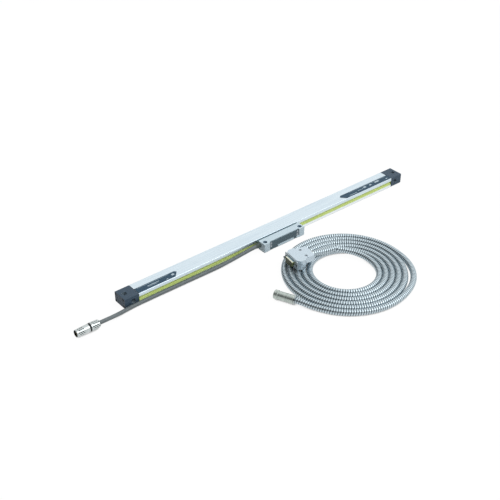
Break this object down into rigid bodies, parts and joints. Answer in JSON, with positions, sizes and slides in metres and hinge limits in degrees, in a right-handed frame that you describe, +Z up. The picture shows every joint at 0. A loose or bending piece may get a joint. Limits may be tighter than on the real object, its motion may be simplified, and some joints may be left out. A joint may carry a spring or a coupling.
{
  "type": "enclosed linear scale",
  "caption": "Enclosed linear glass scale: slotted body with green sealing lips, sliding reading head with cable and plug, and a coiled armoured signal cable with D connector.",
  "frame": {"origin": "centre of the scale body's underside, midway between its two ends", "axes": "+X along the scale towards the end away from the head cable's plug, +Y to the rear of the body (the slot and the head are on the -Y side), +Z up"},
  "size_m": [0.5764, 0.2342, 0.0225],
  "materials": {
    "extrusion": "fine satin anodised, pale blue-white",
    "end_paint": "fine textured dark slate paint",
    "lip": "smooth lime green elastomer",
    "gasket": "matt black",
    "glass": "clear float glass with a fine chrome graduation",
    "black_screw": "blackened",
    "bright_screw": "plain zinc",
    "label": "printed slate film, semi-matt",
    "cast_alu": "machined",
    "steel": "ground",
    "black_plastic": "fine texture",
    "lamp": "clear amber resin",
    "optic": "polished",
    "board": "solder mask",
    "spring_steel": "blank",
    "head_alu": "fine bead-blasted anodised, light blue-grey",
    "head_panel": "slate, semi-matt",
    "gland": "matt",
    "cable_jacket": "smooth grey jacket, slightly shiny",
    "nickel": "satin nickel",
    "olive_nickel": "satin olive-grey nickel",
    "gold": "gold plated",
    "armour": "interlocked strip, blue-grey, oily sheen",
    "hood_paint": "very pale blue, semi-gloss",
    "flange_tin": "pale yellow passivated"
  },
  "bodies": {
    "scale": {"scale_housing": "extrusion", "upper_seal_lip": "lip", "lower_seal_lip": "lip", "glass_scale": "glass", "glass_bead": "gasket", "left_end_block": "end_paint", "right_end_block": "end_paint", "left_end_gasket": "gasket", "right_end_gasket": "gasket", "end_block_screws": "black_screw", "left_label_plate": "label", "right_label_plate": "label", "signal_coil": "armour", "signal_lead": "armour", "signal_tail": "armour", "socket_body": "olive_nickel", "socket_nut": "nickel", "socket_insert": "black_plastic", "socket_contacts": "gold", "hood_upper": "hood_paint", "hood_lower": "hood_paint", "hood_screws": "bright_screw", "dsub_shell": "flange_tin", "dsub_insert": "black_plastic", "dsub_contacts": "gold", "cable_clamp": "bright_screw", "hood_ferrule": "nickel"},
    "head": {"scanning_carriage": "cast_alu", "roller_pins": "steel", "lamp_holder": "black_plastic", "lamp": "lamp", "condenser_lens": "optic", "index_grating": "optic", "photocell_board": "board", "coupling_spring": "spring_steel", "coupling_blade": "steel", "blade_screws": "black_screw", "head_block": "head_alu", "head_gasket": "gasket", "head_cover": "head_panel", "head_cover_screws": "bright_screw", "head_board": "board", "cable_gland": "gland", "head_cable": "cable_jacket", "plug_backshell": "nickel", "plug_seal": "gasket", "plug_insert": "black_plastic", "plug_pins": "gold"},
    "plug_ring": {"plug_ring": "nickel"},
    "top_roller_left": {"top_roller_left": "steel"},
    "top_roller_right": {"top_roller_right": "steel"},
    "top_roller_middle": {"top_roller_middle": "steel"},
    "edge_roller_left": {"edge_roller_left": "steel"},
    "edge_roller_right": {"edge_roller_right": "steel"},
    "jackscrew_near": {"jackscrew_near": "bright_screw"},
    "jackscrew_far": {"jackscrew_far": "bright_screw"}
  },
  "joints": [
    {"name": "head_slide", "type": "slide", "parent": "scale", "child": "head", "axis": [1, 0, 0], "range_m": [-0.187, 0.183]},
    {"name": "top_roller_left_spin", "type": "hinge", "parent": "head", "child": "top_roller_left", "pos_m": [-0.018, 0.0018, 0.0106], "axis": [0, 1, 0], "continuous": true},
    {"name": "top_roller_right_spin", "type": "hinge", "parent": "head", "child": "top_roller_right", "pos_m": [0.022, 0.0018, 0.0106], "axis": [0, 1, 0], "continuous": true},
    {"name": "top_roller_middle_spin", "type": "hinge", "parent": "head", "child": "top_roller_middle", "pos_m": [0.01, 0.0052, 0.0106], "axis": [0, 1, 0], "continuous": true},
    {"name": "edge_roller_left_spin", "type": "hinge", "parent": "head", "child": "edge_roller_left", "pos_m": [-0.011, -0.00245, 0.0075], "axis": [0, 0, 1], "continuous": true},
    {"name": "edge_roller_right_spin", "type": "hinge", "parent": "head", "child": "edge_roller_right", "pos_m": [0.015, -0.00245, 0.0075], "axis": [0, 0, 1], "continuous": true},
    {"name": "plug_ring_turn", "type": "hinge", "parent": "head", "child": "plug_ring", "pos_m": [-0.317, -0.0203, 0.0059], "axis": [1, 0, 0], "continuous": true},
    {"name": "jackscrew_near_turn", "type": "hinge", "parent": "scale", "child": "jackscrew_near", "pos_m": [-0.02832, -0.09362, 0.0155], "axis": [-0.9877, 0.1564, 0], "continuous": true},
    {"name": "jackscrew_far_turn", "type": "hinge", "parent": "scale", "child": "jackscrew_far", "pos_m": [-0.02441, -0.06893, 0.0155], "axis": [-0.9877, 0.1564, 0], "continuous": true}
  ],
  "couplings": [
    {"joint": "top_roller_left_spin", "follows": "head_slide", "rad_per_m": 500},
    {"joint": "top_roller_right_spin", "follows": "head_slide", "rad_per_m": 500},
    {"joint": "top_roller_middle_spin", "follows": "head_slide", "rad_per_m": 500},
    {"joint": "edge_roller_left_spin", "follows": "head_slide", "rad_per_m": 500},
    {"joint": "edge_roller_right_spin", "follows": "head_slide", "rad_per_m": 500}
  ]
}
